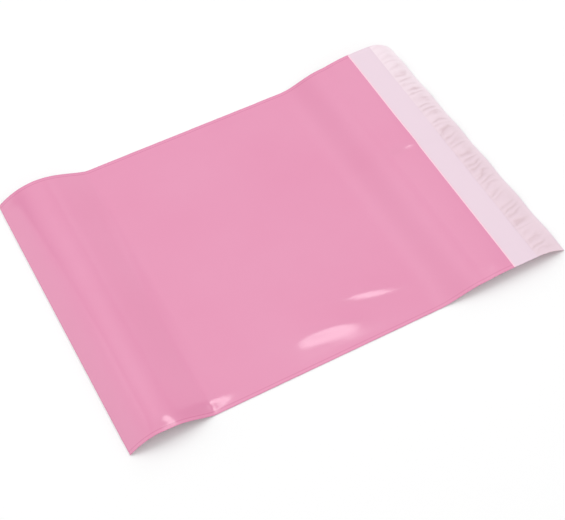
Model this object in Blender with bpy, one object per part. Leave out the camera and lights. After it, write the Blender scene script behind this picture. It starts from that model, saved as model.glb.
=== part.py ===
"""A poly mailer bag lying on a table: a courier pouch with a self-seal flap.

The bag is one web of film. It runs from the flap's outer edge back to the folded bottom,
round the fold and forward to the mouth. Hot-cut welds join its two plies along both sides.
The flap carries a strip of adhesive under a release liner.

The bag is first described flat, by three lengths: along it from the folded bottom, across it
from its near side, and through it from its underside. It is then laid on the table, where
the film keeps its length and arches at the bottom, at the mouth and at the flap.
X runs from the folded bottom to the flap, Y across the bag, and the table is Z = 0.
"""

import functools
import math

import bmesh
import bpy
from mathutils import Vector

MM = 0.001

# The flat bag.
BAG_WIDTH = 280 * MM
POUCH_LENGTH = 366 * MM
FLAP_LENGTH = 54 * MM
FILM_THICKNESS = 0.06 * MM
WELD_WIDTH = 3 * MM
POCKET_GAP = 0.3 * MM
POCKET_AIR = 1.2 * MM
PUCKER_REACH = 12 * MM

# The closure strip on the flap.
ADHESIVE_WIDTH = 22 * MM
ADHESIVE_THICKNESS = 0.12 * MM
LINER_THICKNESS = 0.05 * MM
LINER_OVERHANG = 4 * MM
FLAP_MARGIN = 1.5 * MM
LAYER_GAP = 0.3 * MM

# How the bag lies. Near and far are its two sides, and a crest is a share of its arch.
TOE_SPAN_NEAR = 80 * MM
TOE_SPAN_FAR = 90 * MM
TOE_HEIGHT_NEAR = 13.7 * MM
TOE_HEIGHT_FAR = 14.4 * MM
TOE_CREST = 0.56
MOUTH_SWELL_INSIDE = 79 * MM
MOUTH_SWELL_OUTSIDE = 20 * MM
MOUTH_HEIGHT_NEAR = 9 * MM
MOUTH_HEIGHT_FAR = 11 * MM
FLAP_CURL_INSIDE = 29 * MM
FLAP_HEIGHT_NEAR = 10 * MM
FLAP_HEIGHT_FAR = 16 * MM
FLAP_CREST = 0.58
FLAP_RIPPLES = 6
FLAP_RIPPLE_HEIGHT = 1.2 * MM

# How finely the film is divided.
ARCH_STEP = 8 * MM
FLAT_STEP = 24 * MM
CROSS_STEP = 11.5 * MM
FOLD_SIDES = 4
RUN_STEPS = 60
SLOPE_STEP = 0.05 * MM

# Lengths along the flat bag, from its folded bottom.
BAG_LENGTH = POUCH_LENGTH + FLAP_LENGTH
LINER_END = BAG_LENGTH - FLAP_MARGIN
ADHESIVE_END = LINER_END - LINER_OVERHANG
ADHESIVE_START = ADHESIVE_END - ADHESIVE_WIDTH
LINER_START = ADHESIVE_START - LINER_OVERHANG
MOUTH_SWELL_START = POUCH_LENGTH - MOUTH_SWELL_INSIDE
FLAP_CURL_START = POUCH_LENGTH - FLAP_CURL_INSIDE
FLAT_START = max(TOE_SPAN_NEAR, TOE_SPAN_FAR)
FLAT_MIDDLE = (FLAT_START + MOUTH_SWELL_START) / 2

# Heights through the flat flap, from its underside.
ADHESIVE_BASE = FILM_THICKNESS + LAYER_GAP
LINER_BASE = ADHESIVE_BASE + ADHESIVE_THICKNESS + LAYER_GAP

# The fold is this wide outside, and the arch comes down this far beyond it.
FOLD_RADIUS = POCKET_GAP / 2 + FILM_THICKNESS
TOE_TOUCH = 2 * FOLD_RADIUS

SHARP_EDGE = math.radians(40)


def from_side_to_side(across, near, far):
    """A value that changes evenly from the bag's near side to its far side."""
    return near + (far - near) * across / BAG_WIDTH


def arch(share, crest):
    """An arch of height 1 that leaves the table smoothly at 0, crests and meets it at an angle at 1."""
    return math.sin(math.pi * max(share, 0) ** (math.log(0.5) / math.log(crest)))


def swell(share):
    """A hump of height 1 that leaves the table and comes back to it smoothly."""
    return (1 - math.cos(2 * math.pi * min(max(share, 0), 1))) / 2


def height(along, across):
    """How far the film lies above the table."""
    toe_span = from_side_to_side(across, TOE_SPAN_NEAR, TOE_SPAN_FAR)
    toe = (toe_span - along) / (toe_span + TOE_TOUCH)
    mouth = (along - MOUTH_SWELL_START) / (MOUTH_SWELL_INSIDE + MOUTH_SWELL_OUTSIDE)
    curl = (along - FLAP_CURL_START) / (BAG_LENGTH - FLAP_CURL_START)
    ripple_share = max(along - POUCH_LENGTH, 0) / FLAP_LENGTH
    return (
        from_side_to_side(across, TOE_HEIGHT_NEAR, TOE_HEIGHT_FAR) * arch(toe, TOE_CREST)
        + from_side_to_side(across, MOUTH_HEIGHT_NEAR, MOUTH_HEIGHT_FAR) * swell(mouth)
        + from_side_to_side(across, FLAP_HEIGHT_NEAR, FLAP_HEIGHT_FAR) * arch(curl, FLAP_CREST)
        + FLAP_RIPPLE_HEIGHT * ripple_share**2 * swell(FLAP_RIPPLES * across / BAG_WIDTH % 1)
    )


def slope(along, across):
    """How much the film rises for each metre of its own length."""
    rise = height(along + SLOPE_STEP, across) - height(along - SLOPE_STEP, across)
    return rise / (2 * SLOPE_STEP)


@functools.cache
def run(along, across):
    """Where a point of the film comes to lie in X. Arched film keeps its length and so reaches less far."""
    step = (along - FLAT_MIDDLE) / RUN_STEPS
    middles = (FLAT_MIDDLE + (i + 0.5) * step for i in range(RUN_STEPS))
    return FLAT_MIDDLE + step * sum(math.sqrt(max(1 - slope(m, across) ** 2, 0)) for m in middles)


@functools.cache
def film_point(along, across):
    """A point of the film's underside as the bag lies."""
    return Vector((run(along, across), across, height(along, across)))


def laid(along, across, through):
    """A point of the flat bag as it lies, its height through the bag taken square to the film."""
    here = film_point(along, across)
    ahead = film_point(along + SLOPE_STEP, across) - here
    aside = film_point(along, across + SLOPE_STEP) - here
    return here + ahead.cross(aside).normalized() * through


def stations(marks, longest_step):
    """Places from the first mark to the last, evenly spaced between marks."""
    places = [marks[0]]
    for start, end in zip(marks, marks[1:]):
        count = max(math.ceil((end - start) / longest_step - 0.001), 1)
        places += [start + (end - start) * i / count for i in range(1, count + 1)]
    return places


POUCH_STATIONS = (
    stations([0, FLAT_START], ARCH_STEP)
    + stations([FLAT_START, MOUTH_SWELL_START], FLAT_STEP)[1:]
    + stations([MOUTH_SWELL_START, POUCH_LENGTH], ARCH_STEP)[1:]
)
STRIP_MARKS = [LINER_START, ADHESIVE_START, ADHESIVE_END, LINER_END]
FLAP_STATIONS = stations([POUCH_LENGTH, *STRIP_MARKS, BAG_LENGTH], ARCH_STEP)
CROSS_STATIONS = stations([0, WELD_WIDTH, BAG_WIDTH - WELD_WIDTH, BAG_WIDTH], CROSS_STEP)


def pocket_opening(along, across):
    """The space between the two plies: none in the welds, and a little air in the middle."""
    from_weld = min(across, BAG_WIDTH - across) - WELD_WIDTH
    if from_weld <= SLOPE_STEP:
        return 0
    pocket_width = BAG_WIDTH - 2 * WELD_WIDTH
    air = math.sin(math.pi * along / POUCH_LENGTH) * math.sin(math.pi * from_weld / pocket_width)
    return POCKET_GAP * min(from_weld / PUCKER_REACH, 1) + POCKET_AIR * air


def web_section(across):
    """The film's inner and outer points, from the flap's edge round the fold to the mouth."""
    back = [
        ((along, FILM_THICKNESS), (along, 0))
        for along in reversed(POUCH_STATIONS + FLAP_STATIONS[1:])
    ]
    inner_radius = pocket_opening(0, across) / 2
    outer_radius = inner_radius + FILM_THICKNESS
    fold = []
    for side in range(1, FOLD_SIDES):
        angle = math.pi * (side / FOLD_SIDES - 0.5)
        fold.append(tuple(
            (-radius * math.cos(angle), outer_radius + radius * math.sin(angle))
            for radius in (inner_radius, outer_radius)
        ))
    front = []
    for along in POUCH_STATIONS:
        inner = FILM_THICKNESS + pocket_opening(along, across)
        front.append(((along, inner), (along, inner + FILM_THICKNESS)))
    return back + fold + front


def strip_section(start, end, base, thickness):
    """The lower and upper points of a flat strip on the flap."""
    places = [along for along in FLAP_STATIONS if start - SLOPE_STEP < along < end + SLOPE_STEP]
    return [((along, base), (along, base + thickness)) for along in places]


# The faces of a block, by its corners' places along, across and through, each facing outwards.
BLOCK_FACES = {
    "inner": ((0, 0, 0), (0, 1, 0), (1, 1, 0), (1, 0, 0)),
    "outer": ((0, 0, 1), (1, 0, 1), (1, 1, 1), (0, 1, 1)),
    "start": ((0, 0, 0), (0, 0, 1), (0, 1, 1), (0, 1, 0)),
    "end": ((1, 0, 0), (1, 1, 0), (1, 1, 1), (1, 0, 1)),
    "near": ((0, 0, 0), (1, 0, 0), (1, 0, 1), (0, 0, 1)),
    "far": ((0, 1, 0), (0, 1, 1), (1, 1, 1), (1, 1, 0)),
}


def layer_mesh(name, sections):
    """One closed skin round a layer of film, lofted through its sections across the bag.

    Points that coincide become one, so two plies that touch in a weld share their faces
    there. A face that two blocks share lies inside the film and is left out.
    """
    points = {}
    skin = {}
    for column in range(len(sections) - 1):
        for row in range(len(sections[0]) - 1):
            for side, corners in BLOCK_FACES.items():
                face = []
                for along, across, through in corners:
                    place = sections[column + across][row + along][through]
                    flat = (round(place[0], 9), CROSS_STATIONS[column + across], round(place[1], 9))
                    index = points.setdefault(flat, len(points))
                    if index not in face:
                        face.append(index)
                if len(face) < 3:
                    continue
                if frozenset(face) in skin:
                    del skin[frozenset(face)]
                else:
                    skin[frozenset(face)] = (face, side == "inner")
    bm = bmesh.new()
    for flat in points:
        bm.verts.new(laid(*flat))
    bm.verts.ensure_lookup_table()
    for face, is_inner in skin.values():
        made = bm.faces.new([bm.verts[index] for index in face])
        made.material_index = int(is_inner)
    bmesh.ops.triangulate(bm, faces=bm.faces, quad_method="FIXED")
    bmesh.ops.delete(bm, geom=[v for v in bm.verts if not v.link_faces], context="VERTS")
    mesh = bpy.data.meshes.new(name)
    bm.to_mesh(mesh)
    bm.free()
    mesh.shade_smooth()
    mesh.set_sharp_from_angle(angle=SHARP_EDGE)
    return mesh


def linear(hex_colour):
    """The linear colour of an sRGB hex value."""
    parts = [int(hex_colour[i:i + 2], 16) / 255 for i in (0, 2, 4)]
    return [p / 12.92 if p <= 0.04045 else ((p + 0.055) / 1.055) ** 2.4 for p in parts] + [1]


def material(name, hex_colour, roughness):
    made = bpy.data.materials.new(name)
    made.use_nodes = True
    shader = made.node_tree.nodes["Principled BSDF"]
    shader.inputs["Base Color"].default_value = linear(hex_colour)
    shader.inputs["Roughness"].default_value = roughness
    shader.inputs["Metallic"].default_value = 0
    return made


def piece(name, sections, materials):
    mesh = layer_mesh(name, sections)
    for one in materials:
        mesh.materials.append(one)
    made = bpy.data.objects.new(name, mesh)
    bpy.context.scene.collection.objects.link(made)
    return made


def make_bag_body():
    """The folded and welded web of film: pink outside, and pale inside, where the flap shows it."""
    outside = material("pink_film", "E89DBB", 0.35)
    inside = material("pale_inner_film", "EDD6E2", 0.45)
    sections = [web_section(across) for across in CROSS_STATIONS]
    return piece("bag_body", sections, [outside, inside])


def make_adhesive_strip():
    section = strip_section(ADHESIVE_START, ADHESIVE_END, ADHESIVE_BASE, ADHESIVE_THICKNESS)
    glue = material("hot_melt_adhesive", "EFE6DA", 0.3)
    return piece("adhesive_strip", [section] * len(CROSS_STATIONS), [glue, glue])


def make_release_liner():
    section = strip_section(LINER_START, LINER_END, LINER_BASE, LINER_THICKNESS)
    liner = material("silicone_coated_liner", "E5CDD5", 0.4)
    return piece("release_liner", [section] * len(CROSS_STATIONS), [liner, liner])


def centre_on_table(pieces):
    """Puts the middle of the whole bag at X = 0 and Y = 0."""
    corners = [vertex.co for one in pieces for vertex in one.data.vertices]
    middle = Vector((
        (min(c.x for c in corners) + max(c.x for c in corners)) / 2,
        (min(c.y for c in corners) + max(c.y for c in corners)) / 2,
        0,
    ))
    for one in pieces:
        for vertex in one.data.vertices:
            vertex.co -= middle


def main():
    for old in list(bpy.data.objects):
        bpy.data.objects.remove(old)
    centre_on_table([make_bag_body(), make_adhesive_strip(), make_release_liner()])


main()
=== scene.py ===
# %% [markdown]
# # A poly mailer bag
#
# A poly mailer is a courier bag made of one long web of blown polyethylene film. The web is folded
# once, at the bottom of the bag, and welded along both sides with a hot knife, which cuts and joins
# the two plies in one stroke. The back ply is longer than the front one: what sticks out is the
# flap, with a stripe of adhesive under a release liner that is peeled off before closing.
#
# The script follows the same order. It cuts each sheet flat, lays it on the bag's resting shape
# with Geometry Nodes, and then gives it its finish.

# %% Load the frame
import math
from collections import namedtuple

import bmesh
import bpy
from mathutils import Matrix, Vector, noise


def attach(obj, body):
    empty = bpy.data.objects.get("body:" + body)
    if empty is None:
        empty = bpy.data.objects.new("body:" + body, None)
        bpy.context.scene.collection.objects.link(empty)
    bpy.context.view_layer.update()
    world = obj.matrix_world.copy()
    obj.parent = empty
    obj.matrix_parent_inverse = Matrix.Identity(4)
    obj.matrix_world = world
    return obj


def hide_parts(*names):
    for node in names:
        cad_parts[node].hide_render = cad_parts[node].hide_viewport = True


MM = 0.001

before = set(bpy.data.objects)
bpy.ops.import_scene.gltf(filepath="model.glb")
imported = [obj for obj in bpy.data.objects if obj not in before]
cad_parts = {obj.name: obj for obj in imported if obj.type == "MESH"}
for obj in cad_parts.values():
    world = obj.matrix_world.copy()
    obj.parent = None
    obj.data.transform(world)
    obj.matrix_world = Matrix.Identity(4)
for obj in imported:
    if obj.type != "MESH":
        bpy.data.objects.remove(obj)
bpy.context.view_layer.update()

# %% [markdown]
# ## The flat bag
#
# A bag maker knows the bag by its flat sizes, so they come first. All of them are the sizes of the
# construction that the frame holds. Lengths "along" run from the folded bottom to the flap's outer
# edge, lengths "across" run from the near side to the far side.

# %% Flat sizes
BAG_WIDTH = 280 * MM
POUCH_LENGTH = 366 * MM
FLAP_LENGTH = 54 * MM
FILM_THICKNESS = 0.06 * MM
WELD_WIDTH = 3 * MM
POCKET_GAP = 0.3 * MM
POCKET_AIR = 1.2 * MM
PUCKER_REACH = 12 * MM

BAG_LENGTH = POUCH_LENGTH + FLAP_LENGTH
FOLD_LENGTH = math.pi * FILM_THICKNESS
WEB_LENGTH = BAG_LENGTH + FOLD_LENGTH + POUCH_LENGTH
FOLD_MIDDLE = BAG_LENGTH + FOLD_LENGTH / 2
print("The web is cut to", round(WEB_LENGTH / MM, 1), "x", round(BAG_WIDTH / MM, 1), "mm")

# %% [markdown]
# ## How the bag lies
#
# Film that comes out of a box is never quite flat. This bag arches up behind its folded bottom,
# swells where the mouth begins and curls up along the flap. The film keeps its length while it
# does so, which is why the laid bag is a little shorter than the flat one. Each form is one short
# formula of a height in metres, and the same formulas shape the construction.

# %% Lay of the bag
TOE_SPAN = (80 * MM, 90 * MM)
TOE_HEIGHT = (13.7 * MM, 14.4 * MM)
TOE_CREST = 0.56
TOE_TOUCH = POCKET_GAP + 2 * FILM_THICKNESS
MOUTH_SWELL_INSIDE = 79 * MM
MOUTH_SWELL_OUTSIDE = 20 * MM
MOUTH_HEIGHT = (9 * MM, 11 * MM)
FLAP_CURL_INSIDE = 29 * MM
FLAP_HEIGHT = (10 * MM, 16 * MM)
FLAP_CREST = 0.58
FLAP_RIPPLES = 6
FLAP_RIPPLE_HEIGHT = 1.2 * MM

MOUTH_SWELL_START = POUCH_LENGTH - MOUTH_SWELL_INSIDE
FLAP_CURL_START = POUCH_LENGTH - FLAP_CURL_INSIDE
FLAT_MIDDLE = (max(TOE_SPAN) + MOUTH_SWELL_START) / 2


def from_side_to_side(across, near_and_far):
    near, far = near_and_far
    return near + (far - near) * across / BAG_WIDTH


def arch(share, crest):
    """Leaves the table smoothly at 0, crests at height 1 and meets the table at an angle at 1."""
    return math.sin(math.pi * min(max(share, 0), 1) ** (math.log(0.5) / math.log(crest)))


def swell(share):
    return (1 - math.cos(2 * math.pi * min(max(share, 0), 1))) / 2


def lay_height(along, across):
    toe_span = from_side_to_side(across, TOE_SPAN)
    toe = (toe_span - along) / (toe_span + TOE_TOUCH)
    mouth = (along - MOUTH_SWELL_START) / (MOUTH_SWELL_INSIDE + MOUTH_SWELL_OUTSIDE)
    curl = (along - FLAP_CURL_START) / (BAG_LENGTH - FLAP_CURL_START)
    return (
        from_side_to_side(across, TOE_HEIGHT) * arch(toe, TOE_CREST)
        + from_side_to_side(across, MOUTH_HEIGHT) * swell(mouth)
        + from_side_to_side(across, FLAP_HEIGHT) * arch(curl, FLAP_CREST)
    )


mouth_heights = [round(lay_height(POUCH_LENGTH, side) / MM, 1) for side in (0, BAG_WIDTH)]
print("At the mouth the two sides of the bag lie", mouth_heights, "mm above the table")

# %% [markdown]
# The bag is straight from its near side to its far side, as bent film is: it bends one way at a
# time. So two edge lines hold the whole lay, one on each side. Each edge line follows the web from
# the flap's outer edge, under the bag to the bottom, round the fold and back over it to the mouth.

# %% Edge lines
LAY_STEP = 0.5 * MM
FOLD_SIDES = 6


def side_of_bag(across):
    """The underside of the back ply on one side, as (place, upward direction) every half millimetre."""
    count = round(BAG_LENGTH / LAY_STEP)
    heights = [lay_height(i * LAY_STEP, across) for i in range(count + 1)]
    runs = [0.0]
    for low, high in zip(heights, heights[1:]):
        runs.append(runs[-1] + math.sqrt(LAY_STEP**2 - (high - low) ** 2))
    shift = FLAT_MIDDLE - runs[round(FLAT_MIDDLE / LAY_STEP)]
    places = [Vector((x + shift, across, z)) for x, z in zip(runs, heights)]
    side = []
    for i, place in enumerate(places):
        ahead = places[min(i + 1, count)] - places[max(i - 1, 0)]
        side.append((place, Vector((-ahead.z, 0, ahead.x)).normalized()))
    return side


def edge_line(across):
    side = side_of_bag(across)
    back = [place for place, up in reversed(side)]
    toe, up = side[0]
    out = Vector((-up.z, 0, up.x))
    fold = []
    for i in range(1, FOLD_SIDES):
        angle = math.pi * i / FOLD_SIDES
        round_the_fold = out * math.sin(angle) + up * (1 - math.cos(angle))
        fold.append(toe + round_the_fold * FILM_THICKNESS)
    pouch = side[:round(POUCH_LENGTH / LAY_STEP) + 1]
    front = [place + up * 2 * FILM_THICKNESS for place, up in pouch]
    return back + fold + front


near_line = edge_line(0)
far_line = edge_line(BAG_WIDTH)
all_x = [point.x for point in near_line + far_line]
MIDDLE = Vector(((min(all_x) + max(all_x)) / 2, BAG_WIDTH / 2, 0))
print("The bag lies", round((max(all_x) - min(all_x)) / MM, 1), "mm long")

# %% [markdown]
# A curve object holds each edge line while the film is being laid. They are guides: they are
# deleted before the scene is finished.

# %% Guides


def new_object(name, data):
    made = bpy.data.objects.new(name, data)
    bpy.context.scene.collection.objects.link(made)
    return made


def guide_curve(name, points):
    curve = bpy.data.curves.new(name, "CURVE")
    curve.dimensions = "3D"
    spline = curve.splines.new("POLY")
    spline.points.add(len(points) - 1)
    for target, point in zip(spline.points, points):
        target.co = (*(point - MIDDLE), 1)
    return new_object(name, curve)


near_guide = guide_curve("near_edge_guide", near_line)
far_guide = guide_curve("far_edge_guide", far_line)
print("Each guide has", len(near_line), "points")

# %% [markdown]
# ## Small reliefs of the film
#
# A straight lay alone looks like sheet metal. Real film has gathers where the hot knife shrank
# its edge, a few soft ridges from handling, and air between its plies. None of these is higher
# than a millimetre or two, but a glossy film shows them all. They could be sculpted, but a formula
# keeps both plies in step and is easy to change.
#
# The air comes first. The plies are one in the welds, part within a few millimetres of them and
# stand a millimetre apart in the middle, as in any bag that was never pressed flat. At the mouth
# no weld holds the front ply down, so its lip lifts a little more.

# %% Air and puckers between the plies
LIP_REACH = 14 * MM
LIP_HEIGHT = 0.15 * MM
LIP_EASE = 36 * MM
MOUTH_MARGIN = 1 * MM  # the front ply ends half a fold further out than the pouch's length


def smooth_step(share):
    share = min(max(share, 0), 1)
    return share * share * (3 - 2 * share)


def pocket_opening(along, across):
    """The space between the two plies: none in the welds, and a little air in the middle."""
    from_weld = min(across, BAG_WIDTH - across) - WELD_WIDTH
    if from_weld <= 0 or along >= POUCH_LENGTH + MOUTH_MARGIN:
        return 0
    pocket_width = BAG_WIDTH - 2 * WELD_WIDTH
    along = min(along, POUCH_LENGTH)
    air = math.sin(math.pi * along / POUCH_LENGTH) * math.sin(math.pi * from_weld / pocket_width)
    at_mouth = smooth_step((along - POUCH_LENGTH + LIP_REACH) / LIP_REACH)
    lip = at_mouth * smooth_step(from_weld / LIP_EASE)
    pucker = smooth_step(from_weld / PUCKER_REACH)
    return POCKET_GAP * pucker + POCKET_AIR * air + LIP_HEIGHT * lip


middle_opening = pocket_opening(POUCH_LENGTH / 2, BAG_WIDTH / 2)
print("The middle of the pocket is open by", round(middle_opening / MM, 2), "mm")

# %% [markdown]
# Then the ridges, the soft fold lines that handling leaves in a film. Light picks each one out as
# a leaf-shaped gleam, so the slope of a ridge matters more than its height. Each is a smooth hump,
# written as one row of a table. Its lengths are in millimetres: where its middle lies along and
# across the bag, how far it reaches along itself, towards the near side and towards the far side,
# its turn in degrees and its height. A hollow has a height below zero.
#
# The gathers stand along both sides, where the knife shrank the film, and the free edge of the
# flap has a few ripples, because nothing but its liner holds it straight.

# %% Ridges and gathers
Ridge = namedtuple("Ridge", "along across reach near_reach far_reach turn height")
RIDGES = (
    Ridge(along=188, across=30, reach=34, near_reach=9, far_reach=26, turn=-9, height=1.6),
    Ridge(along=166, across=22, reach=12, near_reach=7, far_reach=9, turn=-20, height=0.3),
    Ridge(along=214, across=26, reach=16, near_reach=6, far_reach=14, turn=-4, height=0.3),
    Ridge(along=246, across=44, reach=36, near_reach=4.8, far_reach=18, turn=-14, height=0.83),
    Ridge(along=78, across=13, reach=20, near_reach=8, far_reach=22, turn=0, height=1.5),
    Ridge(along=38, across=-3, reach=9, near_reach=8, far_reach=10, turn=0, height=-1.3),
    Ridge(along=36, across=9, reach=26, near_reach=6, far_reach=20, turn=4, height=0.4),
    Ridge(along=352, across=160, reach=26, near_reach=5.4, far_reach=18, turn=-7, height=1.03),
)
GATHER_PITCH = 22 * MM
GATHER_REACH = 8 * MM
GATHER_HEIGHT = 0.25 * MM
GATHER_SEED = 12
GATHER_BIAS = 0.5


def ridge_height(ridge, along, across):
    turn = math.radians(ridge.turn)
    from_along = along / MM - ridge.along
    from_across = across / MM - ridge.across
    lengthwise = from_along * math.cos(turn) + from_across * math.sin(turn)
    sideways = from_across * math.cos(turn) - from_along * math.sin(turn)
    side_reach = ridge.far_reach if sideways > 0 else ridge.near_reach
    fall = (lengthwise / ridge.reach) ** 2 + (sideways / side_reach) ** 2
    return ridge.height * MM * math.exp(-fall)


def relief(along, across):
    """How much the whole bag bulges above its straight lay."""
    total = sum(ridge_height(ridge, along, across) for ridge in RIDGES)
    for side, from_side in enumerate((across, BAG_WIDTH - across)):
        wave = noise.noise((along / GATHER_PITCH, GATHER_SEED + side, 0)) + GATHER_BIAS
        total += GATHER_HEIGHT * max(wave, 0) * math.exp(-from_side / GATHER_REACH)
    on_flap = max(along - POUCH_LENGTH, 0) / FLAP_LENGTH
    ripple = swell(FLAP_RIPPLES * across / BAG_WIDTH % 1)
    return total + FLAP_RIPPLE_HEIGHT * on_flap**2 * ripple


near_side = [relief(i * MM, 0) for i in range(round(POUCH_LENGTH / MM))]
print("The near side rises by up to", round(max(near_side) / MM, 2), "mm")

# %% [markdown]
# ## Cutting a sheet flat
#
# A flat blank is a plain grid in the XY plane: X is the place on the web, Y the place across it.
# Two numbers go with each of its points: how far it stands off the film along the film's own
# normal, and how far it is raised straight up. The nodes use them when they lay the blank. Its
# border edges are marked sharp, so that smooth shading stops at the cut edge of the film.

# %% Blanks
FILM_STEP = 2.6 * MM
STEP_TOLERANCE = 0.001


def stations(start, *stretches):
    """Places from the start on. Each stretch is an end and the longest step on the way to it."""
    places = [start]
    for end, longest_step in stretches:
        count = max(math.ceil((end - start) / longest_step - STEP_TOLERANCE), 1)
        places += [start + (end - start) * i / count for i in range(1, count + 1)]
        start = end
    return places


def flat_blank(name, web_places, cross_places, stand_off, face_up):
    points = [(x, y, 0) for y in cross_places for x in web_places]
    columns = len(web_places)
    faces = []
    for row in range(len(cross_places) - 1):
        for i in range(row * columns, (row + 1) * columns - 1):
            face = (i, i + 1, i + 1 + columns, i + columns)
            faces.append(face[::-1] if face_up else face)
    mesh = bpy.data.meshes.new(name)
    mesh.from_pydata(points, [], faces)
    mesh.shade_smooth()
    grid = bmesh.new()
    grid.from_mesh(mesh)
    for edge in grid.edges:
        edge.smooth = not edge.is_boundary
    grid.to_mesh(mesh)
    grid.free()
    off_film = mesh.attributes.new("stand_off", "FLOAT", "POINT")
    raised = mesh.attributes.new("raised", "FLOAT", "POINT")
    for i, (web, across, _) in enumerate(points):
        along = abs(web - FOLD_MIDDLE)
        off_film.data[i].value = stand_off(along, across)
        raised.data[i].value = relief(along, across)
    print(name, "has", len(points), "points")
    return new_object(name, mesh)


print("The film's blank has a point every", round(FILM_STEP / MM, 1), "mm")

# %% [markdown]
# ## Laying a sheet with Geometry Nodes
#
# The same rule lays every sheet of the bag, so it is written once, as a tree of nodes. A cloth
# simulation could drape the film too, but it would crumple such a thin sheet at random, and this
# bag lies the way it was folded.
#
# The scene has many nodes, so a small helper comes first. It adds one node with its settings and
# links and hands back one of its outputs, and a tree then reads as a list of steps. An input goes
# by its name or its place. A Map Range takes a value, the range that it comes from and the range
# that it goes to. A Mix takes its share at 0, and then has a pair of places for each kind of data:
# 2 and 3 for numbers, 4 and 5 for vectors, 6 and 7 for colours.

# %% A helper for nodes


def add_node(tree, kind, inputs=(), out=0, **settings):
    """Adds a node and returns one of its outputs. Inputs are values or other nodes' outputs."""
    node = tree.nodes.new(kind)
    for name, value in settings.items():
        setattr(node, name, value)
    pairs = inputs.items() if isinstance(inputs, dict) else enumerate(inputs)
    for key, value in pairs:
        if isinstance(value, bpy.types.NodeSocket):
            tree.links.new(value, node.inputs[key])
        else:
            node.inputs[key].default_value = value
    return node.outputs[out] if node.outputs else node


print("Every node below is added by", add_node.__name__)

# %% [markdown]
# Every tree starts with named inputs and ends the same way: Realize Instances turns copies into
# real faces, and Set Material gives them their finish.

# %% Start and end of a tree


def new_tree(name, wanted):
    """An empty Geometry Nodes tree with named inputs, and the outputs of its input node by name."""
    tree = bpy.data.node_groups.new(name, "GeometryNodeTree")
    tree.interface.new_socket("Geometry", in_out="INPUT", socket_type="NodeSocketGeometry")
    tree.interface.new_socket("Geometry", in_out="OUTPUT", socket_type="NodeSocketGeometry")
    for kind, labels in wanted.items():
        for label in labels:
            tree.interface.new_socket(label, in_out="INPUT", socket_type=kind)
    given = tree.nodes.new("NodeGroupInput")
    return tree, {socket.name: socket for socket in given.outputs if socket.name}


def end_tree(tree, geometry, finish):
    real = add_node(tree, "GeometryNodeRealizeInstances", {"Geometry": geometry})
    dressed = add_node(tree, "GeometryNodeSetMaterial", {"Geometry": real, "Material": finish})
    add_node(tree, "NodeGroupOutput", {"Geometry": dressed})


print("Trees start in", new_tree.__name__, "and end in", end_tree.__name__)

# %% [markdown]
# The first step of the laying tree finds each point's place. It reads the two guides at the
# point's place on the web and goes straight from the one to the other by the point's share of the
# width. That is how the bag bends, so the film is neither stretched nor squeezed.

# %% Place on the lay


def place_on_lay(tree, given, web, across):
    """Where a point of the flat sheet comes to lie."""
    places = []
    for edge in ("Near Edge", "Far Edge"):
        line = add_node(tree, "GeometryNodeObjectInfo", {"Object": given[edge]}, out="Geometry")
        places.append(add_node(
            tree, "GeometryNodeSampleCurve", {"Curves": line, "Length": web}, out="Position",
            mode="LENGTH",
        ))
    share = add_node(tree, "ShaderNodeMath", (across, given["Bag Width"]), operation="DIVIDE")
    return add_node(
        tree, "ShaderNodeMix", {0: share, 4: places[0], 5: places[1]}, out=1, data_type="VECTOR",
    )


print("Each point goes between two guides")

# %% [markdown]
# The second step lifts it. The rise is the relief that came with the blank, and a slow waviness
# from a noise with a fixed seed. The noise is read at the place on the bag and not on the web, so
# that the plies above each other rise together and never cut through one another.

# %% Rise above the lay


def rise_above_lay(tree, given, web, across):
    """How far a point is raised, as an offset."""
    from_fold = add_node(tree, "ShaderNodeMath", (web, given["Fold Middle"]), operation="SUBTRACT")
    along = add_node(tree, "ShaderNodeMath", (from_fold,), operation="ABSOLUTE")
    on_bag = add_node(tree, "ShaderNodeCombineXYZ", (along, across))
    spot = add_node(
        tree, "ShaderNodeVectorMath", (on_bag, given["Waviness Length"]), operation="DIVIDE",
    )
    waviness = add_node(
        tree, "ShaderNodeTexNoise", {"Vector": spot, "W": given["Seed"], "Scale": 1, "Detail": 1},
        noise_dimensions="4D",
    )
    wave = add_node(tree, "ShaderNodeMath", (waviness, given["Waviness Height"]), operation="MULTIPLY")
    raised = add_node(
        tree, "GeometryNodeInputNamedAttribute", {"Name": "raised"}, data_type="FLOAT",
    )
    rise = add_node(tree, "ShaderNodeMath", (raised, wave), operation="ADD")
    return add_node(tree, "ShaderNodeCombineXYZ", (0, 0, rise))


print("The waviness repeats nowhere on the bag")

# %% [markdown]
# The whole tree keeps the flat place as a UV map before it moves a point. The finishes read it
# later, so that the welds and the lines in the film follow it round the fold.

# %% The tree that lays a sheet
FLAT_MAP = "FlatFilm"


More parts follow.
